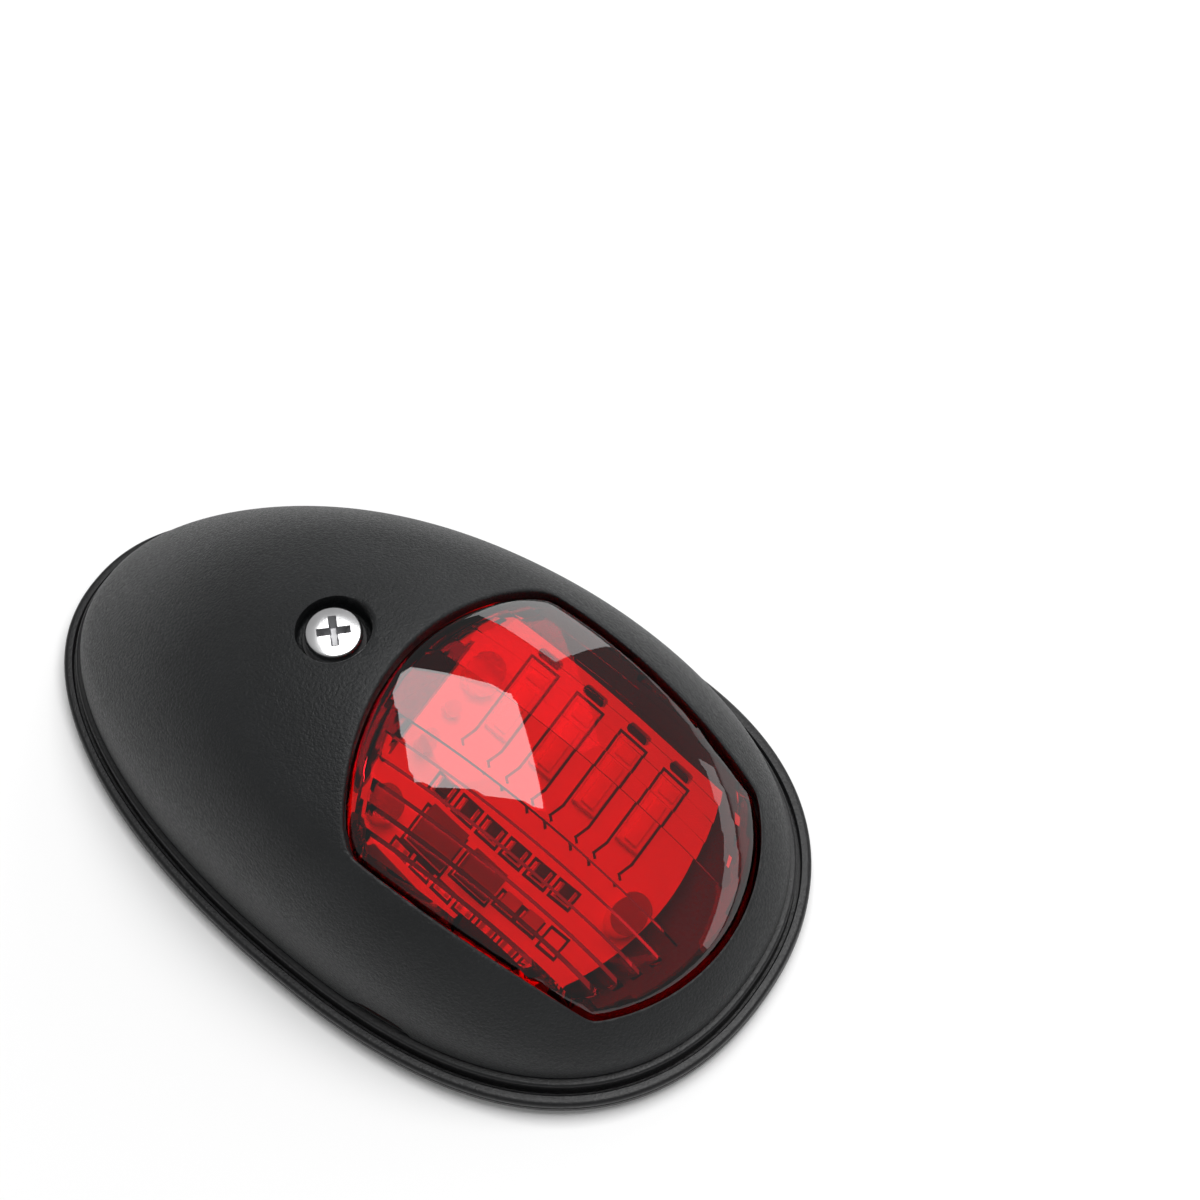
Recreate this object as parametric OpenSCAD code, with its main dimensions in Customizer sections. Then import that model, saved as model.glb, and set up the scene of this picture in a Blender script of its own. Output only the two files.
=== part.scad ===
// Side-mount navigation light for a small boat: a black domed cover with a red window,
// screwed to an egg-shaped base that carries an inclined LED board.
// +X runs from the tail to the nose, +Z away from the mounting surface.

/* [Body] */
// Length of the base, tail to nose
body_l = 89; // [84:1:110]
// Width of the base at its widest
body_w = 56; // [52:1:70]
// Height of the crown above the mounting surface
crown_h = 29.2; // [27:0.2:36]
// Distance of the crown ahead of the middle of the base
crown_x = 0; // [-3:0.5:3]
// Radius of the long profile from the crown to the tail
tail_r = 45; // [42:1:80]
// Radius of the long profile from the crown to the nose
nose_r = 43; // [41:1:80]
// Radius of the cross profile over the crown
cross_r = 28.4; // [26:0.2:60]
// How much wider the nose is than the tail
egg_skew = 0.2; // [0:0.01:0.25]
// How full the ends of the outline are
egg_fill = 0.06; // [0:0.01:0.1]
// Squareness of the outline, 2 for an ellipse
egg_power = 2.17; // [2:0.01:2.5]
// Depth of the flank at the tail, as part of the way in
flank_tail = 0.55; // [0.3:0.05:0.8]
// Depth of the flank at the nose, as part of the way in
flank_nose = 0.2; // [0.1:0.05:0.5]
// Squareness of the shoulder between flank and crown
shoulder = 3; // [2:0.1:4]

/* [Cover] */
// Wall of the cover
cover_wall = 1.6; // [1.2:0.1:2]
// Step from the edge of the base in to the edge of the cover
rim_inset = 2.2; // [1.8:0.1:3]
// Width of the pry notches in the edge of the cover
notch_w = 7.4; // [5:0.2:10]
// Height of the pry notches
notch_h = 1.6; // [1:0.1:2]
// Distance of the pry notches behind the front of the window
notch_back = 26.4; // [20:0.2:32]

/* [Window and lens] */
// Distance from the nose of the base to the front of the window
window_nose = 5.1; // [4.8:0.1:12]
// Length of the window on the centre line
window_l = 41.4; // [32:0.2:44]
// Half width of the window at its widest
window_half = 18.4; // [14:0.1:20]
// Distance of the widest place behind the front of the window
window_wide_back = 28.6; // [20:0.2:36]
// Radius of the rear edge of the window
window_rear_r = 29.6; // [26:0.2:40]
// Radius of the front edge of the window
window_front_r = 22; // [20:0.2:30]
// Radius of the two long edges of the window
window_side_r = 90; // [60:1:200]
// Thickness of the lens
lens_t = 2.2; // [1.6:0.1:3]
// Depth of the lens face below the skin of the cover
lens_recess = 0.7; // [0.3:0.1:1.2]
// Gap around the lens in its window
lens_gap = 0.35; // [0.2:0.05:0.6]
// Width of the flange that holds the lens under the cover
flange_w = 1.5; // [1:0.1:2]
// Thickness of the flange
flange_t = 1.1; // [0.8:0.1:1.6]
// Thickness of the seal between the flange and the cover
lens_seal_t = 0.5; // [0.3:0.1:0.8]

/* [Base and gasket] */
// Thickness of the foam gasket
gasket_t = 1.2; // [0.8:0.1:3]
// Thickness of the floor of the base
floor_t = 1.8; // [1.5:0.1:3]
// Height of the ledge above the floor
ledge_h = 1.2; // [0.8:0.1:2]
// Step from the edge of the base in to the ledge
ledge_inset = 1.5; // [1.2:0.1:1.8]
// Width of the groove between the outer band and the ledge
groove_w = 0.4; // [0.3:0.05:0.6]
// Gap between the ledge and the cover
rim_gap = 0.4; // [0.3:0.05:0.8]
// Thickness of the locating wall inside the cover
locating_t = 1.4; // [1:0.1:2]
// Height of the locating wall above the ledge
locating_h = 2; // [1.5:0.1:4]
// Gap between the locating wall and the cover
locating_gap = 0.35; // [0.3:0.05:0.6]
// Distance between the two mounting holes
mount_spacing = 34; // [28:0.5:36]
// Diameter of the mounting holes
mount_hole_d = 4.4; // [3.5:0.1:5]
// Diameter of the bosses around the mounting holes
mount_boss_d = 8.4; // [7:0.1:9]
// Diameter of the cable hole in the grommet
cable_d = 5.2; // [4:0.1:6]
// Distance of the cable hole behind the cover screw
cable_back = 16; // [14:0.5:20]

/* [Cover screw] */
// Distance of the cover screw behind the window
screw_back = 7.9; // [7:0.1:10]
// Diameter of the screw head
head_d = 6.1; // [5.4:0.1:6.6]
// Height of the screw head
head_h = 1.9; // [1.6:0.1:2.4]
// Depth of the screw head below the skin of the cover
head_recess = 0.9; // [0.6:0.1:1.6]
// Diameter of the counterbore
counterbore_d = 8.1; // [7.6:0.1:9]
// Diameter of the screw thread
thread_d = 3; // [2.5:0.5:3.5]
// Length of the screw under its head
screw_l = 10; // [9:0.5:14]
// Thickness of the sealing washer
washer_t = 0.8; // [0.5:0.1:1.2]
// Length of the threaded insert
insert_l = 6; // [5:0.5:8]
// Outer diameter of the threaded insert
insert_d = 4.6; // [4.2:0.1:5]

/* [LED board] */
// Length of the board
board_l = 33; // [28:0.5:34]
// Width of the board
board_w = 26; // [22:0.5:27]
// Thickness of the board
board_t = 1.6; // [1:0.1:2]
// Slope of the board down towards the nose
board_tilt = 26; // [18:1:28]
// Depth of the middle of the board below the skin of the cover
board_depth = 12.5; // [11.5:0.1:13.5]
// Distance of the middle of the board behind the front of the window
board_back = 23.4; // [22:0.2:24.4]
// Distance between the lamps along the board
led_pitch = 6.1; // [5.6:0.1:6.6]

/* [Hidden] */
$fn = 48;
around = 60;          // points around each ring of a moulded shell
shell_rings = 10;     // rings between the rim and the window
corner_power = 40;    // higher values sharpen the corners of the window
fit_gap = 0.05;       // running gap around the screw
slack = 0.3;          // gap between faces that don't touch
half_l = body_l/2;
egg_norm = max([for (t = [40:1:90]) let (c = fuller(cos(t))) fuller(sin(t))*(1 + egg_skew*c + egg_fill*c*c)]);
half_w = body_w/2/egg_norm;
floor_top = gasket_t + floor_t;
ledge_top = floor_top + ledge_h;
rim_z = ledge_top + rim_gap;
window_front = half_l - window_nose;
window_rear = window_front - window_l;
window_c = (window_front + window_rear)/2;
screw_x = window_rear - screw_back;
cable_x = screw_x - cable_back;
mount_x = screw_x + 6;
notch_x = window_front - notch_back;
board_x = window_front - board_back;

// Egg outline at the angle t, drawn in by inset, and the full outline as points
function fuller(v) = sign(v)*pow(abs(v), 2/egg_power);
function egg(t, inset) =
    let (c = fuller(cos(t))) [(half_l - inset)*c, (half_w - inset)*fuller(sin(t))*(1 + egg_skew*c + egg_fill*c*c)];
function egg_outline(inset) = [for (i = [0:around - 1]) egg(360*i/around, inset)];

// How far out a place is, 1 on the outline drawn in by inset
function reach(x, y, inset) =
    let (u = x/(half_l - inset), v = y/(half_w - inset)/(1 + egg_skew*u + egg_fill*u*u))
    pow(pow(abs(u), egg_power) + pow(abs(v), egg_power), 1/egg_power);

// Height of the moulded skin, or of the same shell drawn in by depth
function profile_r(x) = x < crown_x ? tail_r : nose_r;
function crown_z(x, y) = crown_h - pow(x - crown_x, 2)/2/profile_r(x) - y*y/2/cross_r;
function flank_depth(x) = flank_tail + (flank_nose - flank_tail)*(x/half_l + 1)/2;
function rise(s) = pow(1 - pow(1 - min(1, max(0, s)), shoulder), 1/shoulder);
function skin(x, y, depth) =
    rim_z + max(0, crown_z(x, y) - depth - rim_z)*rise((1 - reach(x, y, rim_inset + depth))/flank_depth(x));

// Distance from the middle of the window to a circle of radius r about [cx, cy], along the angle a
function to_circle(a, r, cx, cy) =
    let (e = [window_c - cx, -cy], along = e*[cos(a), sin(a)]) sqrt(along*along - e*e + r*r) - along;
function window_reach(a) =
    let (sides = [to_circle(a, window_rear_r, window_rear + window_rear_r, 0),
                  to_circle(a, window_front_r, window_front - window_front_r, 0),
                  to_circle(a, window_side_r, window_front - window_wide_back, window_half - window_side_r),
                  to_circle(a, window_side_r, window_front - window_wide_back, window_side_r - window_half)],
         total = sides[0]^-corner_power + sides[1]^-corner_power
               + sides[2]^-corner_power + sides[3]^-corner_power)
    total^(-1/corner_power);

// A point of the window's edge moved out by grow, facing the point of the rim at the angle t
function window_at(t, grow) =
    let (rim = egg(t, rim_inset), a = atan2(rim.y, rim.x - window_c), r = window_reach(a) + grow)
    [window_c + r*cos(a), r*sin(a)];
function window_outline(grow) = [for (i = [0:around - 1]) window_at(360*i/around, grow)];
function lift(p, depth) = [p.x, p.y, skin(p.x, p.y, depth)];
function blend(a, b, s) = a + (b - a)*s;

// Closed shell whose rings follow each other round its section and close on the first
module ring_shell(rings) {
    n = len(rings);
    polyhedron(points = [for (r = rings) each r],
        faces = [for (j = [0:n - 1], i = [0:around - 1])
            let (k = (i + 1) % around, m = (j + 1) % n)
            each [[j*around + i, j*around + k, m*around + k], [j*around + i, m*around + k, m*around + i]]],
        convexity = 6);
}

// Closed cap from its lowest middle point up, out and over to its top middle point
module ring_cap(rings, low, high) {
    n = len(rings);
    last = n*around;
    polyhedron(points = concat([for (r = rings) each r], [low, high]),
        faces = concat(
            [for (j = [0:n - 2], i = [0:around - 1])
                let (k = (i + 1) % around)
                each [[j*around + i, (j + 1)*around + i, (j + 1)*around + k],
                      [j*around + i, (j + 1)*around + k, j*around + k]]],
            [for (i = [0:around - 1]) [i, (i + 1) % around, last]],
            [for (i = [0:around - 1]) [last - around + (i + 1) % around, last - around + i, last + 1]]),
        convexity = 6);
}

module egg_slab(inset, z0, z1) translate([0, 0, z0]) linear_extrude(z1 - z0) polygon(egg_outline(inset));
module window_slab(grow, z0, z1) translate([0, 0, z0]) linear_extrude(z1 - z0) polygon(window_outline(grow));
module rod(d, x, y, z0, z1) translate([x, y, z0]) cylinder(d = d, h = z1 - z0);
module mount_spots() for (side = [-1, 1]) translate([mount_x, side*mount_spacing/2, 0]) children();

/* Foam gasket */
gasket_inset = 0.7;
foam_hole_d = 12.4;
module foam_gasket() color("dimgray") difference() {
    egg_slab(gasket_inset, 0, gasket_t);
    rod(foam_hole_d, cable_x, 0, -1, gasket_t + 1);
    mount_spots() rod(mount_hole_d, 0, 0, -1, gasket_t + 1);
}

/* Base */
seat_z = skin(screw_x, 0, 0) - head_recess - head_h - washer_t;
boss_floor_t = 2;        // floor of the counterbore
ring_t = 0.25;           // ring under that floor, which keeps the screw in the cover
ring_w = 1.5;
post_top = seat_z - boss_floor_t - ring_t - slack;
post_d = 7.6;
support_d = 3;
support_out = 0.2;       // how far outside the window's edge the lens supports stand
support_gap = 0.8;       // gap between the supports and the lens flange
grommet_neck_d = 8;
board_mid_z = skin(board_x, 0, 0) - board_depth;
support_angles = [62, 118, 242, 298];
board_post_d = 4.6;
board_spots = [[-board_l/2 + 2.6, -board_w/2 + 3.5], [-board_l/2 + 2.6, board_w/2 - 6.5],
    [board_l/2 - 2.7, -board_w/2 + 11]];
seal_w = 1.1;
seal_inset = rim_inset + (cover_wall - seal_w)/2;
seal_depth = 0.8;

wall_inset = rim_inset + cover_wall + locating_gap;
wall_top = min(ledge_top + locating_h, blend(rim_z, skin(wall_inset - half_l, 0, cover_wall), 0.5));

module board_frame() translate([board_x, 0, board_mid_z]) rotate([0, board_tilt, 0]) children();
// Lowest place of the lens flange over the round top of a support
function support_top(p) = min([for (b = [0:30:330])
    skin(p.x + support_d/2*cos(b), p.y + support_d/2*sin(b), cover_wall + lens_seal_t + flange_t)]);
function support_at(a) = let (r = window_reach(a) + support_out) [window_c + r*cos(a), r*sin(a)];

module base_plate() color([0.09, 0.09, 0.1]) difference() {
    union() {
        difference() {
            union() {
                egg_slab(0, gasket_t, floor_top);
                egg_slab(ledge_inset, floor_top - 0.5, ledge_top);
                egg_slab(wall_inset, ledge_top - 0.5, wall_top);
            }
            egg_slab(wall_inset + locating_t, floor_top, wall_top + 1);
            window_slab(flange_w + slack, ledge_top, wall_top + 1);
            difference() {
                egg_slab(ledge_inset - groove_w, floor_top - 0.9, floor_top + 0.1);
                egg_slab(ledge_inset, floor_top - 1, floor_top + 0.2);
            }
            difference() {
                egg_slab(seal_inset, ledge_top - seal_depth, ledge_top + 0.1);
                egg_slab(seal_inset + seal_w, ledge_top - 1, ledge_top + 0.2);
            }
        }
        rod(post_d, screw_x, 0, floor_top - 0.5, post_top);
        mount_spots() rod(mount_boss_d, 0, 0, floor_top - 0.5, ledge_top);
        for (a = support_angles)
            let (p = support_at(a), top = support_top(p) - support_gap)
            rod(support_d, p.x, p.y, floor_top - 0.5, top);
        intersection() {
            board_frame() for (s = board_spots) rod(board_post_d, s.x, s.y, -2*crown_h, -board_t);
            egg_slab(rim_inset + cover_wall, floor_top - 0.5, crown_h);
        }
    }
    rod(insert_d, screw_x, 0, post_top - insert_l, post_top + 1);
    rod(thread_d + 0.6, screw_x, 0, post_top - insert_l - 3, post_top);
    rod(grommet_neck_d, cable_x, 0, 0, floor_top + 1);
    mount_spots() rod(mount_hole_d, 0, 0, 0, ledge_top + 1);
    board_frame() for (s = board_spots) rod(board_pilot_d, s.x, s.y, -board_t - board_screw_l, 0);
}

/* Seal under the rim of the cover */
module cover_seal() color([0.2, 0.2, 0.2]) difference() {
    egg_slab(seal_inset, ledge_top - seal_depth, rim_z - fit_gap);
    egg_slab(seal_inset + seal_w, ledge_top - 1, rim_z + 1);
}

/* Cover */
boss_d = counterbore_d + 2*cover_wall;
boss_sink = 0.75;                                    // how far the boss stays below the skin
crown_slope = atan((crown_x - screw_x)/tail_r);      // slope of the skin at the cover screw
clearance_d = thread_d + 0.5;
notch_r = (notch_w*notch_w/4 + notch_h*notch_h)/2/notch_h;
seat_w = flange_w;                                   // flat run around the window, over the lens seal
seal_inner = 0.1;                                    // how far outside the window's edge the lens seal starts
seal_gap = 0.15;                                     // gap between the lens seal and the cover
function shell_ring(s, depth, grow = 0) = [for (i = [0:around - 1])
    let (t = 360*i/around) lift(blend(egg(t, rim_inset + depth), window_at(t, grow), s), depth)];
module screw_boss() intersection() {
    rod(boss_d, screw_x, 0, seat_z - boss_floor_t, crown_h + boss_d);
    translate([screw_x, 0, skin(screw_x, 0, 0) - boss_sink]) rotate([0, -crown_slope, 0])
        translate([-boss_d, -boss_d, -2*crown_h]) cube([2*boss_d, 2*boss_d, 2*crown_h]);
}
module cover() color([0.1, 0.1, 0.11]) difference() {
    union() {
        ring_shell(concat(
            [for (j = [0:shell_rings]) shell_ring(pow(j/shell_rings, 2), cover_wall, seat_w)],
            [shell_ring(1, cover_wall), shell_ring(1, 0)],
            [for (j = [shell_rings:-1:0]) shell_ring(pow(j/shell_rings, 2), 0, seat_w)]));
        screw_boss();
    }
    rod(counterbore_d, screw_x, 0, seat_z, crown_h + 1);
    rod(clearance_d, screw_x, 0, seat_z - boss_floor_t - 1, seat_z + 1);
    translate([notch_x, 0, rim_z + notch_h - notch_r]) rotate([90, 0, 0])
        cylinder(r = notch_r, h = body_w + 2, center = true);
}

/* Lens */
face_rings = 6;
under_rings = 5;
flange_top = cover_wall + lens_seal_t;
function lens_ring(s, grow, depth) = [for (i = [0:around - 1])
    lift(blend([window_c, 0], window_at(360*i/around, grow), s), depth)];
module lens() color([0.8, 0.02, 0.04, 0.6]) ring_cap(
    concat([for (j = [1:under_rings]) lens_ring(j/under_rings, -lens_gap - lens_t/2, lens_recess + lens_t)],
        [lens_ring(1, -lens_gap, flange_top + flange_t),
         lens_ring(1, flange_w, flange_top + flange_t),
         lens_ring(1, flange_w, flange_top),
         lens_ring(1, -lens_gap, flange_top)],
        [for (j = [face_rings:-1:1]) lens_ring(j/face_rings, -lens_gap, lens_recess)]),
    lift([window_c, 0], lens_recess + lens_t), lift([window_c, 0], lens_recess));

/* Seal between the lens flange and the cover */
module lens_seal() color([0.25, 0.25, 0.25]) ring_shell([
    lens_ring(1, seal_inner, cover_wall + seal_gap), lens_ring(1, flange_w, cover_wall + seal_gap),
    lens_ring(1, flange_w, flange_top), lens_ring(1, seal_inner, flange_top)]);

/* Cover screw, its sealing washer and the ring that keeps it in the cover */
head_bottom = seat_z + washer_t;
recess_l = 3.5;          // length of each slot of the cross recess
recess_w = 0.9;
recess_depth = 1.2;
module cover_screw() color([0.85, 0.85, 0.86]) difference() {
    translate([screw_x, 0, 0]) rotate_extrude() polygon([
        [0, head_bottom - screw_l], [thread_d/2 - 0.4, head_bottom - screw_l],
        [thread_d/2, head_bottom - screw_l + 0.4], [thread_d/2, head_bottom],
        [head_d/2, head_bottom], [head_d/2, head_bottom + head_h - 0.5],
        [head_d/2 - 0.5, head_bottom + head_h], [0, head_bottom + head_h]]);
    translate([screw_x, 0, head_bottom + head_h - recess_depth]) for (a = [0, 90]) rotate([0, 0, a])
        translate([-recess_l/2, -recess_w/2, 0]) cube([recess_l, recess_w, recess_depth + 1]);
}

module ring_washer(outer, inner, z0, z1) difference() {
    rod(outer, screw_x, 0, z0, z1);
    rod(inner, screw_x, 0, z0 - 1, z1 + 1);
}
module screw_washer() color([0.15, 0.15, 0.15])
    ring_washer(head_d + 0.6, thread_d + 2*fit_gap, seat_z + fit_gap, head_bottom - fit_gap);

module retaining_ring() color([0.8, 0.8, 0.75]) ring_washer(thread_d + 2*ring_w, thread_d + 2*fit_gap,
    seat_z - boss_floor_t - ring_t, seat_z - boss_floor_t);

/* Threaded insert in the post of the base */
module thread_insert() color([0.78, 0.6, 0.25])
    ring_washer(insert_d, thread_d + 2*fit_gap, post_top - insert_l, post_top - slack);

/* LED board and what is soldered to it, drawn flat about the middle of its face */
board_pilot_d = 1.8;
board_screw_d = 2.2;
board_screw_l = 5;
board_head_d = 4;
board_head_h = 1.4;
slot_l = 3;
slot_w = 1;
led_l = 7.4;
led_w = 3;
slot_row_y = board_w/2 - 1.3;
led_row_y = slot_row_y - 1.2 - led_l/2;
led_h = 0.8;
led_count = 4;
emitter_margin = 0.5;
emitter_h = 0.35;
nose_arc_r = 26;         // radius of the board's front edge
nose_arc_y = 2;
function led_x(i) = (i - (led_count - 1)/2)*led_pitch;

module led_board() color([0.92, 0.92, 0.9]) board_frame() difference() {
    intersection() {
        translate([-board_l/2, -board_w/2, -board_t]) cube([board_l, board_w, board_t]);
        rod(2*nose_arc_r, board_l/2 - nose_arc_r, nose_arc_y, -board_t - 1, 1);
    }
    for (i = [0:led_count - 1]) translate([led_x(i), slot_row_y, -board_t/2]) {
        cube([slot_l - slot_w, slot_w, 2*board_t], center = true);
        for (side = [-1, 1]) translate([side*(slot_l - slot_w)/2, 0, 0])
            cylinder(d = slot_w, h = 2*board_t, center = true);
    }
    for (s = board_spots) rod(board_screw_d + 0.2, s.x, s.y, -board_t - 1, 1);
}

module led_packages() color([0.95, 0.95, 0.92]) board_frame() for (i = [0:led_count - 1])
    translate([led_x(i) - led_w/2, led_row_y - led_l/2, 0]) cube([led_w, led_l, led_h]);

module led_emitters() color([0.95, 0.85, 0.4]) board_frame() for (i = [0:led_count - 1])
    translate([led_x(i) - led_w/2 + emitter_margin, led_row_y - led_l/2 + emitter_margin, led_h])
        cube([led_w - 2*emitter_margin, led_l - 2*emitter_margin, emitter_h]);

chip_row_y = -3.6;
chip_pitch = 3.4;
chip_size = [2, 1.25, 0.55];
module resistors() color([0.1, 0.1, 0.1]) board_frame() for (i = [0:5])
    translate([(i - 2.9)*chip_pitch - chip_size.x/2, chip_row_y - chip_size.y/2, 0]) cube(chip_size);

low_row_y = -8;
driver_size = [4.9, 3.9, 1.5];
module driver_chip() color([0.08, 0.08, 0.08]) board_frame()
    translate([-7.4 - driver_size.x/2, low_row_y - driver_size.y/2, 0]) cube(driver_size);

diode_size = [4.4, 2.6, 2];
module polarity_diode() color([0.12, 0.12, 0.12]) board_frame()
    translate([-1.4 - diode_size.x/2, low_row_y - diode_size.y/2, 0]) cube(diode_size);

capacitor_size = [2, 1.25, 1];
module capacitors() color([0.7, 0.6, 0.45]) board_frame() for (i = [0:1])
    translate([3 + 3*i - capacitor_size.x/2, low_row_y - capacitor_size.y/2, 0]) cube(capacitor_size);

terminal_pitch = 4;
terminal_x = -board_l/2 + 2.2;
module lead_terminals() color([0.75, 0.76, 0.78]) board_frame() for (side = [-1, 1])
    translate([terminal_x, side*terminal_pitch/2, 0]) cylinder(d = 2, h = 1.2);

module board_screws() color([0.75, 0.76, 0.78]) board_frame() for (s = board_spots) {
    rod(board_head_d, s.x, s.y, 0, board_head_h);
    rod(board_pilot_d, s.x, s.y, -board_t - board_screw_l + 0.5, 0.1);
}

/* Cable grommet, snapped into the floor of the base */
grommet_flange_d = 11;
grommet_foot_d = 10.4;
grommet_flange_t = 1.4;
grommet_sleeve_h = 1.8;
module cable_grommet() color([0.05, 0.05, 0.05]) translate([cable_x, 0, 0]) rotate_extrude() polygon([
    [cable_d/2, 0.2], [grommet_foot_d/2, 0.2], [grommet_foot_d/2, gasket_t],
    [grommet_neck_d/2, gasket_t], [grommet_neck_d/2, floor_top],
    [grommet_flange_d/2, floor_top], [grommet_flange_d/2, floor_top + grommet_flange_t],
    [grommet_neck_d/2, floor_top + grommet_flange_t],
    [grommet_neck_d/2, floor_top + grommet_flange_t + grommet_sleeve_h],
    [cable_d/2, floor_top + grommet_flange_t + grommet_sleeve_h]]);

foam_gasket();
base_plate();
cover_seal();
cover();
lens();
lens_seal();
cover_screw();
screw_washer();
retaining_ring();
thread_insert();
led_board();
led_packages();
led_emitters();
resistors();
driver_chip();
polarity_diode();
capacitors();
lead_terminals();
board_screws();
cable_grommet();
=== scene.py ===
import math
import bmesh
import bpy
from mathutils import Matrix, Vector


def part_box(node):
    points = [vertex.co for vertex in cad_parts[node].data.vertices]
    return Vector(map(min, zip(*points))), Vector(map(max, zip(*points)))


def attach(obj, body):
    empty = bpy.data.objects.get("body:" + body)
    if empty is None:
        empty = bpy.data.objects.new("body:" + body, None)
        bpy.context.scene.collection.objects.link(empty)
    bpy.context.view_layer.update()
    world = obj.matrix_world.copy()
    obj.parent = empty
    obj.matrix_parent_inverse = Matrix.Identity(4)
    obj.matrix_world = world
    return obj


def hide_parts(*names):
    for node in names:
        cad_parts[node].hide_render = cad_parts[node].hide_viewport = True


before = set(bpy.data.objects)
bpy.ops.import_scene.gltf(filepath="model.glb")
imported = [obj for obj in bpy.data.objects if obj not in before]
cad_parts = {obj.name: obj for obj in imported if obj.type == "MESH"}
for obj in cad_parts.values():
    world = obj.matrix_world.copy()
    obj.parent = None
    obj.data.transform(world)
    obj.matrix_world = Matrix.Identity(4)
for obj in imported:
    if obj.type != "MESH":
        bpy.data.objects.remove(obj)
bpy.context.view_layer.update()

mm = 0.001
baseLow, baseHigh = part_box("base_plate")
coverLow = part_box("cover")[0]
screwLow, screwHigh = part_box("cover_screw")
grommetLow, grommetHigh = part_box("cable_grommet")
gasketLow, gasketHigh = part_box("foam_gasket")
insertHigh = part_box("thread_insert")[1]

# The moulded form that cover, lens, seals and base share, in millimetres
form = {
    "halfL": baseHigh.x / mm,
    "halfW": 1,              # stretched below to the base's own width
    "skew": 0.2,             # how much wider the nose is than the tail
    "fill": 0.06,            # how much fuller both ends are than the middle
    "power": 2.17,           # squareness of the outline, 2 for an ellipse
    "crownZ": 29.2,
    "tailR": 45,
    "noseR": 43,
    "crossR": 28.4,
    "flankTail": 0.55,
    "flankNose": 0.2,
    "shoulder": 3,
    "rimInset": 2.2,
    "rimZ": coverLow.z / mm,
}
window = {
    "front": baseHigh.x / mm - 5.1,
    "length": 41.4,
    "half": 18.4,
    "wideBack": 28.6,
    "rearR": 29.6,
    "frontR": 22,
    "sideR": 90,
    "corner": 110,
}
windowRear = window["front"] - window["length"]
windowMid = window["front"] - window["length"] / 2
screwX = (screwLow.x + screwHigh.x) / 2 / mm
cableX = (grommetLow.x + grommetHigh.x) / 2 / mm


def turns(count):            # the angles of count even steps round a circle
    return [2 * math.pi * i / count for i in range(count)]


def fuller(v):
    return math.copysign(abs(v) ** (2 / form["power"]), v)


def eggPoint(t, inset):
    c, s = fuller(math.cos(t)), fuller(math.sin(t))
    wide = 1 + form["skew"] * c + form["fill"] * c * c
    return (form["halfL"] - inset) * c, (form["halfW"] - inset) * s * wide


form["halfW"] = baseHigh.y / mm / max(eggPoint(math.radians(k), 0)[1] for k in range(40, 91))


def reach(x, y, inset):      # 1 on the outline drawn in by inset, 0 in the middle
    u = x / (form["halfL"] - inset)
    v = y / (form["halfW"] - inset) / (1 + form["skew"] * u + form["fill"] * u * u)
    return (abs(u) ** form["power"] + abs(v) ** form["power"]) ** (1 / form["power"])


def skin(x, y, depth):       # height of the moulded skin drawn in by depth
    longR = form["tailR"] if x < 0 else form["noseR"]
    crown = form["crownZ"] - x * x / 2 / longR - y * y / 2 / form["crossR"] - depth - form["rimZ"]
    nearNose = (x / form["halfL"] + 1) / 2
    flank = form["flankTail"] + (form["flankNose"] - form["flankTail"]) * nearNose
    s = min(1, max(0, (1 - reach(x, y, form["rimInset"] + depth)) / flank))
    n = form["shoulder"]
    return form["rimZ"] + max(0, crown) * (1 - (1 - s) ** n) ** (1 / n)


def windowReach(a):          # from the window's middle to its edge along the angle a
    def toCircle(r, cx, cy):
        ex, ey = windowMid - cx, -cy
        along = ex * math.cos(a) + ey * math.sin(a)
        return math.sqrt(along * along - ex * ex - ey * ey + r * r) - along
    wideX = window["front"] - window["wideBack"]
    down = window["half"] - window["sideR"]
    edges = [
        toCircle(window["rearR"], windowRear + window["rearR"], 0),
        toCircle(window["frontR"], window["front"] - window["frontR"], 0),
        toCircle(window["sideR"], wideX, down),
        toCircle(window["sideR"], wideX, -down),
    ]
    k = window["corner"]
    return sum(e ** -k for e in edges) ** (-1 / k)


def windowPoint(t, grow):    # the window's edge moved out by grow, facing the rim at t
    ex, ey = eggPoint(t, form["rimInset"])
    a = math.atan2(ey, ex - windowMid)
    r = windowReach(a) + grow
    return windowMid + r * math.cos(a), r * math.sin(a)


# ---- mesh helpers
def shadeSmooth(bm, sharpAngle):     # edges sharper than sharpAngle, and open ones, stay hard
    limit = math.radians(sharpAngle)
    for f in bm.faces:
        f.smooth = True
    for e in bm.edges:
        e.smooth = len(e.link_faces) == 2 and e.calc_face_angle(0) < limit


def finishMesh(bm, name, sharpAngle, body):
    bmesh.ops.recalc_face_normals(bm, faces=bm.faces)
    shadeSmooth(bm, sharpAngle)
    mesh = bpy.data.meshes.new(name)
    bm.to_mesh(mesh)
    bm.free()
    piece = bpy.data.objects.new(name, mesh)
    bpy.context.scene.collection.objects.link(piece)
    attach(piece, body)
    return piece


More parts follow.
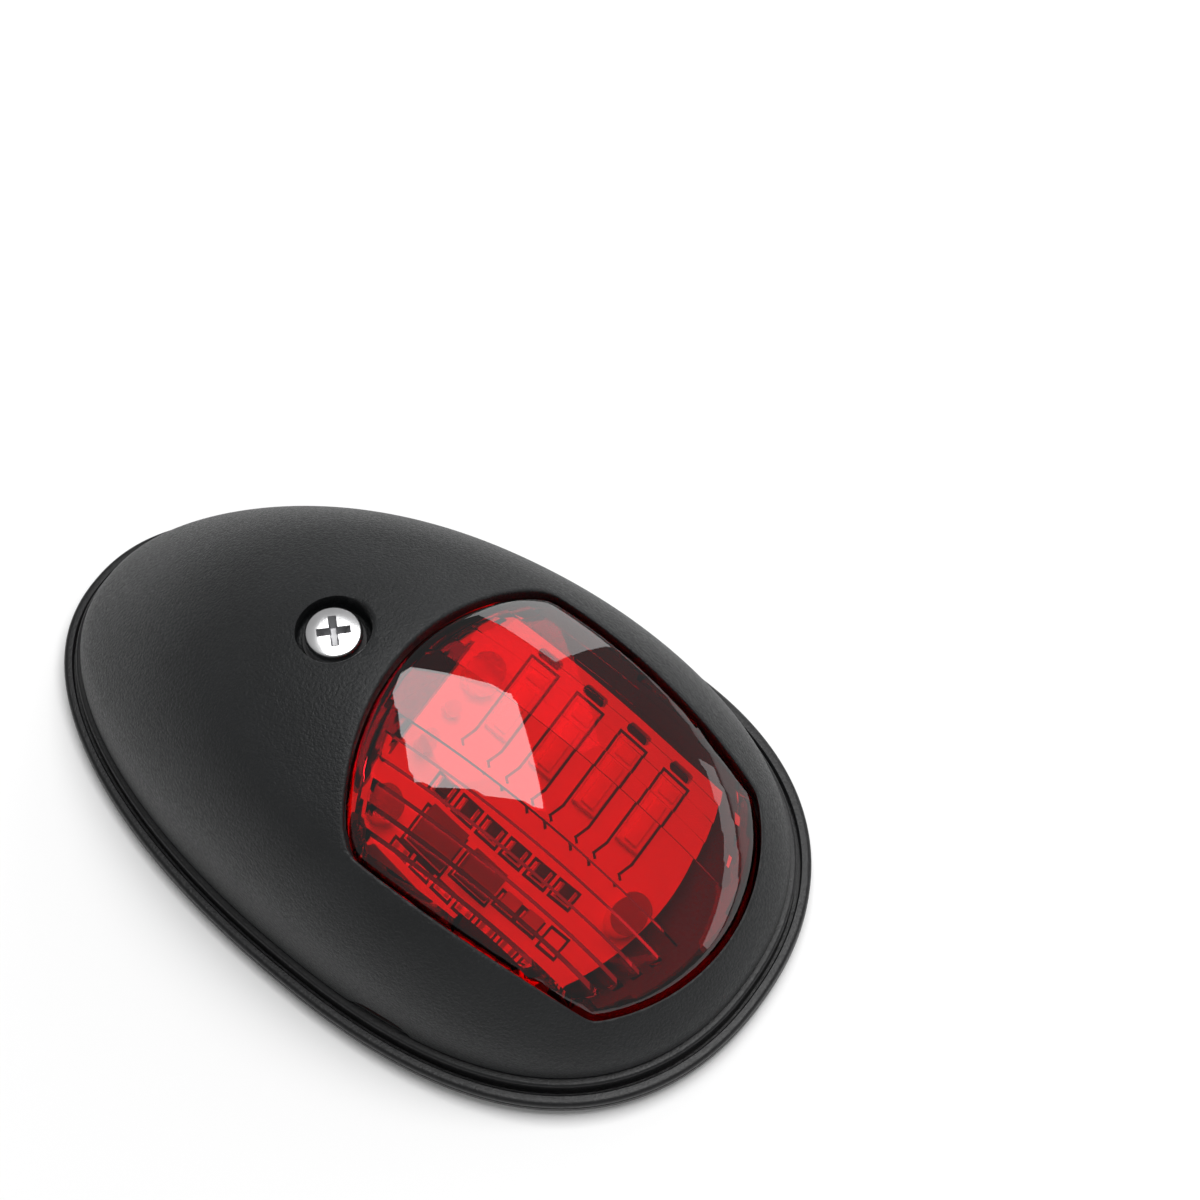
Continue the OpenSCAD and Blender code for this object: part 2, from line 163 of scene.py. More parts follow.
def sweepRings(bm, rings, closed=True):   # a skin through rings of points, which all turn the same way
    count = len(rings[0])
    made = bmesh.ops.create_circle(bm, segments=count, radius=1)
    verts = sorted(made["verts"], key=lambda v: math.atan2(v.co.y, v.co.x) % (2 * math.pi))
    first = verts
    for v, p in zip(verts, rings[0]):
        v.co = Vector(p) * mm
    edges = [bm.edges.get((verts[i], verts[(i + 1) % count])) for i in range(count)]
    firstEdges = edges
    for ring in rings[1:]:
        grown = bmesh.ops.extrude_edge_only(bm, edges=edges)["geom"]
        fresh = {v for v in grown if isinstance(v, bmesh.types.BMVert)}
        verts = [next(e.other_vert(v) for e in v.link_edges if e.other_vert(v) in fresh) for v in verts]
        for v, p in zip(verts, ring):
            v.co = Vector(p) * mm
        edges = [bm.edges.get((verts[i], verts[(i + 1) % count])) for i in range(count)]
    if closed:
        bmesh.ops.bridge_loops(bm, edges=firstEdges + edges)
    return first, verts


def spinProfile(bm, points, x=0, y=0, steps=64):   # points are (radius, height), from axis to axis
    verts = [bm.verts.new(Vector((x + r, y, z)) * mm) for r, z in points]
    edges = [bm.edges.new(pair) for pair in zip(verts, verts[1:])]
    bmesh.ops.spin(bm, geom=verts + edges, cent=Vector((x, y, 0)) * mm, axis=(0, 0, 1),
                   dvec=(0, 0, 0), angle=2 * math.pi, steps=steps, use_merge=True, use_duplicate=False)
    bmesh.ops.remove_doubles(bm, verts=bm.verts, dist=1e-7)


def cutAway(piece, cutters):
    for cutter in cutters:
        bpy.context.view_layer.objects.active = piece
        hole = piece.modifiers.new("cut", "BOOLEAN")
        hole.operation = "DIFFERENCE"
        hole.solver = "EXACT"
        hole.object = cutter
        bpy.ops.object.modifier_apply(modifier=hole.name)
        bpy.data.objects.remove(cutter)


def cutterFrom(bm):
    bmesh.ops.recalc_face_normals(bm, faces=bm.faces)
    mesh = bpy.data.meshes.new("cutter")
    bm.to_mesh(mesh)
    bm.free()
    cutter = bpy.data.objects.new("cutter", mesh)
    bpy.context.scene.collection.objects.link(cutter)
    return cutter


def addBlock(bm, low, high, place, soft=0.0):   # a box in millimetres, its edges rounded by soft
    size = Vector(high) - Vector(low)
    mid = (Vector(high) + Vector(low)) / 2
    at = Matrix.Translation(mid * mm) @ Matrix.Diagonal((size.x * mm, size.y * mm, size.z * mm, 1))
    verts = bmesh.ops.create_cube(bm, size=1, matrix=place @ at)["verts"]
    if soft:
        edges = list({e for v in verts for e in v.link_edges})
        bmesh.ops.bevel(bm, geom=edges, offset=soft * mm, affect="EDGES", segments=3, profile=0.5,
                        material=-1)


# ---- materials
surface = {
    "grainDepth": 0.00014,
    "rippleDepth": 0.0001,
    "wearDepth": 0.00004,
    "plasticSpecular": 0.38,
    "lensIor": 1.58,
    "lensShade": (0.74, 0.12, 0.12, 1),   # what the lens lets through to the board
}
def nodeGroup(name, inputs, outputs):
    group = bpy.data.node_groups.new(name, "ShaderNodeTree")
    for label, kind, value in inputs:
        socket = group.interface.new_socket(name=label, in_out="INPUT", socket_type=kind)
        socket.default_value = value
    for label, kind in outputs:
        group.interface.new_socket(name=label, in_out="OUTPUT", socket_type=kind)
    start = group.nodes.new("NodeGroupInput")
    end = group.nodes.new("NodeGroupOutput")
    return group, start, end


def mouldGrain():            # the fine spark-eroded grain of moulded black plastic, with painted glints as lighter specks at the grain's cell centres
    group, start, end = nodeGroup(
        "mouldGrain",
        [("Grain", "NodeSocketFloat", 4200.0), ("Blotch", "NodeSocketFloat", 160.0)],
        [("Height", "NodeSocketFloat"), ("PaintedGlint", "NodeSocketFloat"), ("Patch", "NodeSocketFloat")])
    nodes, links = group.nodes, group.links
    coord = nodes.new("ShaderNodeTexCoord")
    fine = nodes.new("ShaderNodeTexNoise")
    fine.inputs["Detail"].default_value = 3
    fine.inputs["Roughness"].default_value = 0.65
    links.new(coord.outputs["Object"], fine.inputs["Vector"])
    links.new(start.outputs["Grain"], fine.inputs["Scale"])
    spots = nodes.new("ShaderNodeTexVoronoi")
    spots.feature = "F1"
    links.new(coord.outputs["Object"], spots.inputs["Vector"])
    links.new(start.outputs["Grain"], spots.inputs["Scale"])
    # painted glints: specks near each cell centre that lift the colour towards the lighter tone
    glint = nodes.new("ShaderNodeMapRange")
    glint.inputs["From Min"].default_value = 0.16
    glint.inputs["From Max"].default_value = 0.04
    links.new(spots.outputs["Distance"], glint.inputs["Value"])
    broad = nodes.new("ShaderNodeTexNoise")
    broad.inputs["Detail"].default_value = 4
    links.new(coord.outputs["Object"], broad.inputs["Vector"])
    links.new(start.outputs["Blotch"], broad.inputs["Scale"])
    links.new(fine.outputs["Fac"], end.inputs["Height"])
    links.new(glint.outputs["Result"], end.inputs["PaintedGlint"])
    links.new(broad.outputs["Fac"], end.inputs["Patch"])
    return group


grainGroup = mouldGrain()


def newMaterial(name):
    material = bpy.data.materials.new(name)
    material.use_nodes = True
    nodes, links = material.node_tree.nodes, material.node_tree.links
    return material, nodes, links, nodes["Principled BSDF"]


def mouldedPlastic(name, dark, light, roughLow, roughHigh, grain, bump, spark=0.0):
    material, nodes, links, shader = newMaterial(name)
    group = nodes.new("ShaderNodeGroup")
    group.node_tree = grainGroup
    group.inputs["Grain"].default_value = grain
    tone = nodes.new("ShaderNodeMix")
    tone.data_type = "RGBA"
    tone.inputs["A"].default_value = (*dark, 1)
    tone.inputs["B"].default_value = (*light, 1)
    # the painted glints, scaled by spark, plus the random patches set the tone
    paintedGlintAndPatch = nodes.new("ShaderNodeMath")
    paintedGlintAndPatch.operation = "MULTIPLY_ADD"
    paintedGlintAndPatch.inputs[1].default_value = spark
    links.new(group.outputs["PaintedGlint"], paintedGlintAndPatch.inputs[0])
    links.new(group.outputs["Patch"], paintedGlintAndPatch.inputs[2])
    links.new(paintedGlintAndPatch.outputs["Value"], tone.inputs["Factor"])
    links.new(tone.outputs["Result"], shader.inputs["Base Color"])
    rough = nodes.new("ShaderNodeMapRange")
    rough.inputs["From Min"].default_value = 0.3
    rough.inputs["From Max"].default_value = 0.7
    rough.inputs["To Min"].default_value = roughLow
    rough.inputs["To Max"].default_value = roughHigh
    links.new(group.outputs["Height"], rough.inputs["Value"])
    links.new(rough.outputs["Result"], shader.inputs["Roughness"])
    shader.inputs["Specular IOR Level"].default_value = surface["plasticSpecular"]
    relief = nodes.new("ShaderNodeBump")
    relief.inputs["Strength"].default_value = bump
    relief.inputs["Distance"].default_value = surface["grainDepth"]
    links.new(group.outputs["Height"], relief.inputs["Height"])
    links.new(relief.outputs["Normal"], shader.inputs["Normal"])
    return material


def redLens(name, red, rough, scale, bump):
    material, nodes, links, shader = newMaterial(name)
    shader.inputs["Base Color"].default_value = (red, 0.004, 0.012, 1)
    shader.inputs["Roughness"].default_value = rough
    shader.inputs["IOR"].default_value = surface["lensIor"]
    shader.inputs["Transmission Weight"].default_value = 1
    coord = nodes.new("ShaderNodeTexCoord")
    ripple = nodes.new("ShaderNodeTexNoise")
    ripple.inputs["Scale"].default_value = scale
    ripple.inputs["Detail"].default_value = 2
    links.new(coord.outputs["Object"], ripple.inputs["Vector"])
    relief = nodes.new("ShaderNodeBump")
    relief.inputs["Strength"].default_value = bump
    relief.inputs["Distance"].default_value = surface["rippleDepth"]
    links.new(ripple.outputs["Fac"], relief.inputs["Height"])
    links.new(relief.outputs["Normal"], shader.inputs["Normal"])
    clear = nodes.new("ShaderNodeBsdfTransparent")   # lets light through the lens to the board
    clear.inputs["Color"].default_value = surface["lensShade"]
    path = nodes.new("ShaderNodeLightPath")
    mix = nodes.new("ShaderNodeMixShader")
    links.new(path.outputs["Is Shadow Ray"], mix.inputs["Fac"])
    links.new(shader.outputs["BSDF"], mix.inputs[1])
    links.new(clear.outputs["BSDF"], mix.inputs[2])
    links.new(mix.outputs["Shader"], nodes["Material Output"].inputs["Surface"])
    return material


def plainFinish(name, color, rough, metal=0.0, scale=900.0, bump=0.15, vary=0.06):
    material, nodes, links, shader = newMaterial(name)
    shader.inputs["Metallic"].default_value = metal
    coord = nodes.new("ShaderNodeTexCoord")
    noise = nodes.new("ShaderNodeTexNoise")
    noise.inputs["Scale"].default_value = scale
    noise.inputs["Detail"].default_value = 4
    links.new(coord.outputs["Object"], noise.inputs["Vector"])
    tone = nodes.new("ShaderNodeMix")
    tone.data_type = "RGBA"
    tone.inputs["A"].default_value = (*[c * (1 - vary) for c in color], 1)
    tone.inputs["B"].default_value = (*[min(1, c * (1 + vary)) for c in color], 1)
    links.new(noise.outputs["Fac"], tone.inputs["Factor"])
    links.new(tone.outputs["Result"], shader.inputs["Base Color"])
    spread = nodes.new("ShaderNodeMapRange")
    spread.inputs["To Min"].default_value = rough * 0.85
    spread.inputs["To Max"].default_value = min(1, rough * 1.15)
    links.new(noise.outputs["Fac"], spread.inputs["Value"])
    links.new(spread.outputs["Result"], shader.inputs["Roughness"])
    relief = nodes.new("ShaderNodeBump")
    relief.inputs["Strength"].default_value = bump
    relief.inputs["Distance"].default_value = surface["wearDepth"]
    links.new(noise.outputs["Fac"], relief.inputs["Height"])
    links.new(relief.outputs["Normal"], shader.inputs["Normal"])
    return material


finish = {
    # the cover's lighter specks are painted glints
    "cover": mouldedPlastic("coverPlastic", (0.0015, 0.002, 0.0024), (0.009, 0.0102, 0.0112),
                            0.36, 0.6, 3100, 1.0, 3.2),
    "base": mouldedPlastic("basePlastic", (0.002, 0.002, 0.0025), (0.008, 0.008, 0.009),
                           0.32, 0.5, 3600, 0.4),
    "lens": redLens("redLens", 0.66, 0.0, 60, 0.02),
    "crinkle": redLens("crinkledLens", 0.62, 0.08, 1300, 0.9),
    # near-black red glass for the risers of the prism steps: painted shade standing in for the dark lines
    # they show
    "riser": redLens("riserPaintedShade", 0.05, 0.25, 2600, 0.6),
    "foam": plainFinish("greyFoam", (0.42, 0.42, 0.42), 0.95, scale=1500, bump=0.9, vary=0.35),
    "rubber": plainFinish("sealRubber", (0.02, 0.02, 0.021), 0.6, scale=1200, bump=0.3),
    "steel": plainFinish("stainlessSteel", (0.82, 0.82, 0.83), 0.22, metal=1.0, scale=700,
                         bump=0.12, vary=0.03),
    "brass": plainFinish("turnedBrass", (0.72, 0.5, 0.2), 0.3, metal=1.0, scale=900),
    "board": plainFinish("boardWhite", (0.86, 0.86, 0.84), 0.35, scale=500, bump=0.1, vary=0.03),
    "led": plainFinish("ledWhite", (0.9, 0.9, 0.88), 0.4, scale=800, vary=0.03),
    "phosphor": plainFinish("ledPhosphor", (0.9, 0.78, 0.35), 0.3, scale=1400, vary=0.08),
    "chip": plainFinish("chipBlack", (0.012, 0.012, 0.013), 0.5, scale=2500, bump=0.4),
    "chipGrey": plainFinish("chipGrey", (0.16, 0.16, 0.16), 0.5, scale=2500, bump=0.4),
    # a darker, rougher steel for the walls of the screw's cross recess: painted shade in the hollow
    "recess": plainFinish("recessPaintedShadeSteel", (0.42, 0.42, 0.43), 0.5, metal=1.0, scale=1600, bump=0.4),
    "ceramic": plainFinish("ceramicTan", (0.42, 0.3, 0.18), 0.45, scale=2000),
    "tin": plainFinish("solderTin", (0.68, 0.69, 0.71), 0.3, metal=1.0, scale=1600, bump=0.3),
    "ink": plainFinish("boardInk", (0.01, 0.01, 0.012), 0.45, scale=1500),
}


def dress(piece, material):
    piece.data.materials.clear()
    piece.data.materials.append(material)


# ---- cover
cover = {
    "around": 384,
    "rings": 72,
    "innerRings": 18,
    "crowd": 0.75,           # how strongly the rings crowd towards the rim
    "innerCrowd": 2.2,
    "sharp": 50,
    "wall": 1.6,
    "edgeR": 0.45,           # rounding of the window's edge
    "notchX": window["front"] - 26.4,
    "notchW": 7.4,
    "notchH": 1.7,
    "boreR": 4.05,
    "boreSteps": 96,
    "cutDown": 4,            # how far the bore is cut below the skin
    "cutUp": 2,              # and above it
    "lipR": 0.5,
    "cupGap": 0.04,          # the cup's wall stands back from the bore
    "cupDrop": 1.5,          # and starts this far below the skin
    "cupSoft": 0.3,
    "bossR": 5.65,
    "headRecess": 0.9,
    "seatDrop": 1.9 + 0.8,   # screw head and washer
    "floorT": 2.0,
    "clearR": 1.75,
}
seatZ = skin(screwX, 0, 0) - cover["headRecess"] - cover["seatDrop"]


def notchLift(x):            # how far the rim is raised over a pry notch
    u = abs(x - cover["notchX"]) / (cover["notchW"] / 2)
    return cover["notchH"] * max(0, 1 - u ** 3) ** 0.7 if u < 1 else 0


def coverRings():
    angles = turns(cover["around"])
    rims, starts, windows = [], [], []
    for t in angles:
        rx, ry = eggPoint(t, form["rimInset"])
        wx, wy = windowPoint(t, cover["edgeR"])
        lowZ = form["rimZ"] + notchLift(rx)
        near, far = 0.0, 0.5
        for _ in range(30):          # where the skin reaches the raised rim
            s = (near + far) / 2
            if skin(rx + (wx - rx) * s, ry + (wy - ry) * s, 0) < lowZ:
                near = s
            else:
                far = s
        starts.append(near if lowZ > form["rimZ"] else 0)
        rims.append((rx, ry, lowZ))
        windows.append((wx, wy))
    rings = []
    for j in range(cover["rings"] + 1):
        f = j / cover["rings"]
        q = f ** 3 * cover["crowd"] + f ** 1.5 * (1 - cover["crowd"]) * f
        ring = []
        for (rx, ry, lowZ), s0, (wx, wy) in zip(rims, starts, windows):
            s = s0 + (1 - s0) * q
            x, y = rx + (wx - rx) * s, ry + (wy - ry) * s
            ring.append((x, y, max(lowZ, skin(x, y, 0))))
        rings.append(ring)
    for k in range(1, 5):            # round the window's edge over
        turn = math.radians(22.5 * k)
        grow = cover["edgeR"] * (1 - math.sin(turn))
        depth = cover["edgeR"] * (1 - math.cos(turn))
        rings.append([(x, y, skin(x, y, 0) - depth) for x, y in (windowPoint(t, grow) for t in angles)])
    for j in range(cover["innerRings"] + 1):
        q = (1 - j / cover["innerRings"]) ** cover["innerCrowd"]
        ring = []
        for t, (rx, ry, lowZ) in zip(angles, rims):
            ex, ey = eggPoint(t, form["rimInset"] + cover["wall"])
            wx, wy = windowPoint(t, 0)
            x, y = ex + (wx - ex) * q, ey + (wy - ey) * q
            ring.append((x, y, max(lowZ, skin(x, y, cover["wall"]))))
        rings.append(ring)
    return rings


def makeCover():
    bm = bmesh.new()
    sweepRings(bm, coverRings())
    piece = finishMesh(bm, "coverShell", cover["sharp"], "cover")
    lipZ = skin(screwX, 0, 0)
    slope = -screwX / form["tailR"]
    r, lip = cover["boreR"], cover["lipR"]
    quarter = [math.radians(15 * k) for k in range(7)]
    flare = [(r + lip * (1 - math.cos(a)), lip * math.sin(a) - lip) for a in quarter]
    foot = [(0, -cover["cutDown"]), (r, -cover["cutDown"])]
    head = [(r + lip + cover["cutUp"], cover["cutUp"]), (0, cover["cutUp"])]
    bm = bmesh.new()
    spinProfile(bm, foot + flare + head, steps=cover["boreSteps"])
    for v in bm.verts:               # the lip follows the slope of the skin
        flat = max(0.0, min(1.0, (v.co.z / mm + lip) / lip))
        sag = v.co.y ** 2 / 2 / (form["crossR"] * mm) + v.co.x ** 2 / 2 / (form["tailR"] * mm)
        v.co.z += (v.co.x * slope - sag) * flat
        v.co += Vector((screwX, 0, lipZ)) * mm
    cutAway(piece, [cutterFrom(bm)])
    cup = bmesh.new()                # the wall and floor of the counterbore
    r, soft = cover["boreR"] + cover["cupGap"], cover["cupSoft"]
    topZ, floorZ = lipZ - cover["cupDrop"], seatZ - cover["floorT"]
    spinProfile(cup, [(cover["clearR"], seatZ), (r - soft, seatZ), (r, seatZ + soft), (r, topZ),
                      (cover["bossR"], topZ - soft), (cover["bossR"], floorZ),
                      (cover["clearR"], floorZ), (cover["clearR"], seatZ)],
                screwX, 0, cover["boreSteps"])
    bmesh.ops.recalc_face_normals(cup, faces=cup.faces)
    cupMesh = bpy.data.meshes.new("cup")
    cup.to_mesh(cupMesh)
    cup.free()
    bm = bmesh.new()
    bm.from_mesh(piece.data)
    bm.from_mesh(cupMesh)
    shadeSmooth(bm, cover["sharp"])
    bm.to_mesh(piece.data)
    bm.free()
    dress(piece, finish["cover"])
    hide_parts("cover")


makeCover()
print("cover made")


# ---- lens
lens = {
    "recess": 0.7,
    "gap": 0.35,
    "edgeR": 0.6,
    "edgeW": 1.2,            # no prism comes closer to the lens's edge than this
    "rowsLong": 84,
    "risers": [4.0, 6.2, 8.6, 10.7, 12.8, 14.9],   # steps of the prisms, across from the middle
    "lastStep": 1.4,         # the outermost prism ends this far inside the edge
    "riserW": 0.07,          # half the width of a step
    "riserLean": 0.55,       # a face this steep is the riser of a step
    "plainPitch": 0.8,
    "skinT": 1.1,            # thinnest place of a prism
    "ribBack": 2.4,          # the prisms start this far from the rear edge
    "ribFront": 3.0,
    "ribFade": 0.5,
    "crinkleBack": 6.4,      # and are crinkled up to here
    "crinkleFront": 6.0,
    "flangeTop": 1.6 + 0.5,
    "flangeT": 1.1,
    "flangeW": 1.5,
    "flangeLap": 0.02,       # the flange starts this far outside the lens's edge
    "flangeDip": 0.2,        # and the lens's edge reaches down to this far above its underside
    "around": 256,
}


def ribLines():              # places across the lens, each with the place whose height its prism takes
    half = window["half"] - lens["gap"]
    places = [(lens["plainPitch"] * k, lens["plainPitch"] * k) for k in range(5)]
    stops = lens["risers"] + [half - lens["lastStep"]]
    for near, far in zip(stops, stops[1:]):
        places += [(near - lens["riserW"], near), (near + lens["riserW"], far), ((near + far) / 2, far)]
    last = stops[-1]
    outer = [last + (half - last) * q for q in (0, 0.3, 0.5, 0.7, 0.85, 0.95, 1)]
    places += [(y, y) for y in outer]
    lower = [(-y, -r) for y, r in reversed(places[1:])]
    return [(y / half, r) for y, r in lower + places]
def windowBack(y):           # the window's rear edge, y across from the middle
    return windowRear + window["rearR"] - math.sqrt(window["rearR"] ** 2 - y * y)


def windowFore(y):
    return window["front"] - window["frontR"] + math.sqrt(max(0, window["frontR"] ** 2 - y * y))


def lensPatch(u, v):         # u runs 0 to 1 from the rear edge to the front one, v -1 to 1 across
    half = window["half"] - lens["gap"]
    y = half * v
    rearEdge = windowBack(y) + lens["gap"]
    frontEdge = windowFore(y) - lens["gap"]
    x = rearEdge + (frontEdge - rearEdge) * u
    dx, dy = x - windowMid, y
    r, a = math.hypot(dx, dy), math.atan2(dy, dx)
    limit = windowReach(a) - lens["gap"]
    if r > limit:
        dx, dy = dx * limit / r, dy * limit / r
        r = limit
    return windowMid + dx, dy, limit - r, x - rearEdge, frontEdge - x


def makeLens():
    lines = ribLines()
    rows = lens["rowsLong"]
    bm = bmesh.new()
    bmesh.ops.create_grid(bm, x_segments=rows, y_segments=len(lines) - 1, size=1)
    ends = [0, 0.004, 0.01, 0.018, 0.03]             # the rows crowd towards both ends
    inner = rows - 2 * len(ends) + 2
    spread = ends + [0.03 + 0.94 * k / inner for k in range(1, inner)] + [1 - e for e in reversed(ends)]
    place = {}
    for v in bm.verts:
        i = round((v.co.x + 1) / 2 * rows)
        j = round((v.co.y + 1) / 2 * (len(lines) - 1))
        place[v] = (spread[i], lines[j][0], lines[j][1])
        v.co.z = 0
    grown = bmesh.ops.extrude_face_region(bm, geom=list(bm.faces))["geom"]
    under = {v for v in grown if isinstance(v, bmesh.types.BMVert)}
    spots = {}
    for v in list(place):
        spots[(round(v.co.x, 5), round(v.co.y, 5))] = place[v]
    for v in bm.verts:
        u, across, prismY = spots[(round(v.co.x, 5), round(v.co.y, 5))]
        x, y, inside, fromRear, fromFront = lensPatch(u, across)
        if v in under:
            fadeBack = min(1, max(0, (fromRear - lens["ribBack"]) / lens["ribFade"]))
            fadeFront = min(1, max(0, (fromFront - lens["ribFront"]) / lens["ribFade"]))
            z = skin(x, y, lens["recess"] + lens["skinT"])
            if inside > lens["edgeW"]:
                prismZ = skin(x, prismY, lens["recess"] + lens["skinT"])
                z += (prismZ - z) * (fadeBack * fadeFront)
            else:
                z = min(z, skin(x, y, lens["flangeTop"] + lens["flangeT"] - lens["flangeDip"]))
        else:
            short = max(0, lens["edgeR"] - inside)
            z = skin(x, y, lens["recess"] + lens["edgeR"] - math.sqrt(lens["edgeR"] ** 2 - short ** 2))
        v.co = Vector((x, y, z)) * mm
    bm.normal_update()
    for f in bm.faces:           # the crinkled strips at both ends of the prisms, and the risers, whose near-black glass is painted shade
        if all(v in under for v in f.verts):
            mid = f.calc_center_median() / mm
            atRear = lens["ribBack"] < mid.x - windowBack(mid.y) < lens["crinkleBack"]
            atFront = lens["ribFront"] < windowFore(mid.y) - mid.x < lens["crinkleFront"]
            if abs(mid.y) < lens["risers"][-1] + 1:
                if atRear or atFront:
                    f.material_index = 1
                elif abs(f.normal.z) < lens["riserLean"]:
                    f.material_index = 2
    bmesh.ops.remove_doubles(bm, verts=bm.verts, dist=1e-6)
    piece = finishMesh(bm, "lensBody", 28, "cover")
    start, low, high = lens["flangeLap"] - lens["gap"], lens["flangeTop"] + lens["flangeT"], lens["flangeTop"]
    corners = [(start, low), (lens["flangeW"], low), (lens["flangeW"], high), (start, high)]
    rings = []
    for grow, depth in corners:
        edge = [windowPoint(t, grow) for t in turns(lens["around"])]
        rings.append([(x, y, skin(x, y, depth)) for x, y in edge])
    bm = bmesh.new()
    sweepRings(bm, rings)
    flange = finishMesh(bm, "lensFlange", 40, "cover")
    for part in (piece, flange):
        dress(part, finish["lens"])
        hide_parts("lens")
    piece.data.materials.append(finish["crinkle"])
    piece.data.materials.append(finish["riser"])


makeLens()
print("lens made")


# ---- base
base = {
    "around": 384,
    "clearingSteps": 256,
    "floorIn": 8,            # the floor is closed over from this far inside the edge
    "chamfer": 0.3,
    "bandR": 0.5,
    "lineZ": 2.15,           # the fine line round the band
    "lineD": 0.12,
    "lineMouth": 0.12,
    "lineFoot": 0.05,
    "grooveIn": 1.1,
    "grooveOut": 1.5,
    "grooveD": 0.9,
    "grooveSoft": 0.15,
    "ledgeR": 0.35,
    "ledgeTop": form["rimZ"] - 0.4,
    "floorTop": 3.0,
    "wallOut": form["rimInset"] + cover["wall"] + 0.35,
    "wallT": 1.4,
    "wallSoft": 0.2,
    "wallMost": 2.0,
    "lensClear": 1.8,        # the wall stops this far outside the window
    "cutTop": 12,
    "mountX": screwX + 6,
    "mountY": 17,
    "mountR": 2.2,
    "mountBossR": 4.2,
    "neckR": 4.0,
    "postR": 3.8,
    "insertR": 2.3,
    "insertGap": 0.3,
    "sink": 0.4,             # every post starts this far inside the floor
    "supportR": 1.5,
    "supportOut": 0.2,
    "supportDepth": 3.2,
    "supportGap": 1.0,
    "supportAngles": (62, 118, 242, 298),
    "boardPostR": 2.3,
    "boardPostSink": 0.3,
}
base["wallTop"] = min(base["ledgeTop"] + base["wallMost"],
                      (form["rimZ"] + skin(base["wallOut"] - form["halfL"], 0, cover["wall"])) / 2)

# The board stands on posts of the base, so its place is set here
board = {
    "thick": 1.6,
    "tilt": math.radians(26),
    "back": 23.4,            # behind the front of the window
    "depth": 12.5,           # below the skin
    "spots": [(-13.9, -9.5), (-13.9, 6.5), (13.8, -2)],
    "lamps": 4,
    "lampPitch": 6.1,
    "slotRow": 11.7,
    "lineW": 0.3,
    "lineH": 0.03,
    "lineHalf": 1.78,
    "resistors": 6,
    "resistorPitch": 3.4,
    "resistorShift": 2.9,
    "resistorRow": -3.6,
    "chipRow": -8,
    "chips": [(-7.4, 2.8, 2.3), (-1.4, 2.5, 1.6), (3, 1.35, 0.95), (6, 1.35, 0.95), (9.4, 1.2, 1.2)],
    "pads": 7,
    "padPitch": 3.1,
    "padStart": 9.6,
    "padRow": -11.3,
}
boardX = window["front"] - board["back"]
boardFrame = (Matrix.Translation(Vector((boardX, 0, skin(boardX, 0, 0) - board["depth"])) * mm)
              @ Matrix.Rotation(board["tilt"], 4, "Y"))


def eggRing(inset, z, count):
    return [(*eggPoint(t, inset), z) for t in turns(count)]


def capEnds(bm, loops):
    for ring in loops:
        bmesh.ops.contextual_create(bm, geom=ring)


def holeCutter(x, y, r, low, high):
    bm = bmesh.new()
    spinProfile(bm, [(0, low), (r, low), (r, high), (0, high)], x, y)
    return cutterFrom(bm)


def addPost(bm, x, y, r, bore, low, high, soft=0.25):   # a round boss, solid where bore is 0
    outside = [(bore, low), (r, low), (r, high - soft), (r - soft, high), (bore, high)]
    if bore:
        outside.append((bore, low))
    spinProfile(bm, outside, x, y)


def roundOver(inset, top, r):    # a quarter turn from the side up onto the top
    steps = (math.radians(18 * k) for k in range(6))
    return [(inset + r - r * math.cos(a), top - r + r * math.sin(a)) for a in steps]


def baseProfile():           # (inset from the outline, height), from the underside up and over
    lowZ, bandTop = baseLow.z / mm, base["floorTop"]
    ledgeTop, wallTop, wallOut = base["ledgeTop"], base["wallTop"], base["wallOut"]
    wallIn = wallOut + base["wallT"]
    lineZ, lineD = base["lineZ"], base["lineD"]
    grooveIn, grooveOut, grooveZ = base["grooveIn"], base["grooveOut"], bandTop - base["grooveD"]
    chamfer, soft = base["chamfer"], base["grooveSoft"]
    profile = [(base["floorIn"], lowZ), (chamfer, lowZ), (0.0, lowZ + chamfer)]
    profile += [(0.0, lineZ - base["lineMouth"]), (lineD, lineZ - base["lineFoot"])]
    profile += [(lineD, lineZ + base["lineFoot"]), (0.0, lineZ + base["lineMouth"])]
    profile += roundOver(0.0, bandTop, base["bandR"])
    profile += [(grooveIn - soft, bandTop), (grooveIn, bandTop - soft)]
    profile += [(grooveIn, grooveZ), (grooveOut, grooveZ)]
    profile += roundOver(grooveOut, ledgeTop, base["ledgeR"])
    profile += [(wallOut, ledgeTop), (wallOut, wallTop - base["wallSoft"])]
    profile += [(wallOut + base["wallSoft"], wallTop), (wallIn, wallTop)]
    return profile + [(wallIn, bandTop), (base["floorIn"], bandTop)]


def makeBase():
    bm = bmesh.new()
    rings = [eggRing(inset, z, base["around"]) for inset, z in baseProfile()]
    capEnds(bm, sweepRings(bm, rings, closed=False))
    piece = finishMesh(bm, "baseTray", 40, "base")
    clearing = bmesh.new()
    edge = [windowPoint(t, base["lensClear"]) for t in turns(base["clearingSteps"])]
    rings = [[(x, y, z) for x, y in edge] for z in (base["ledgeTop"], base["cutTop"])]
    capEnds(clearing, sweepRings(clearing, rings, closed=False))
    cutters = [cutterFrom(clearing), holeCutter(cableX, 0, base["neckR"], 0, 5)]
    for side in (-1, 1):
        cutters.append(holeCutter(base["mountX"], side * base["mountY"], base["mountR"], 0, 5))
    cutAway(piece, cutters)
    dress(piece, finish["base"])
    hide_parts("base_plate")


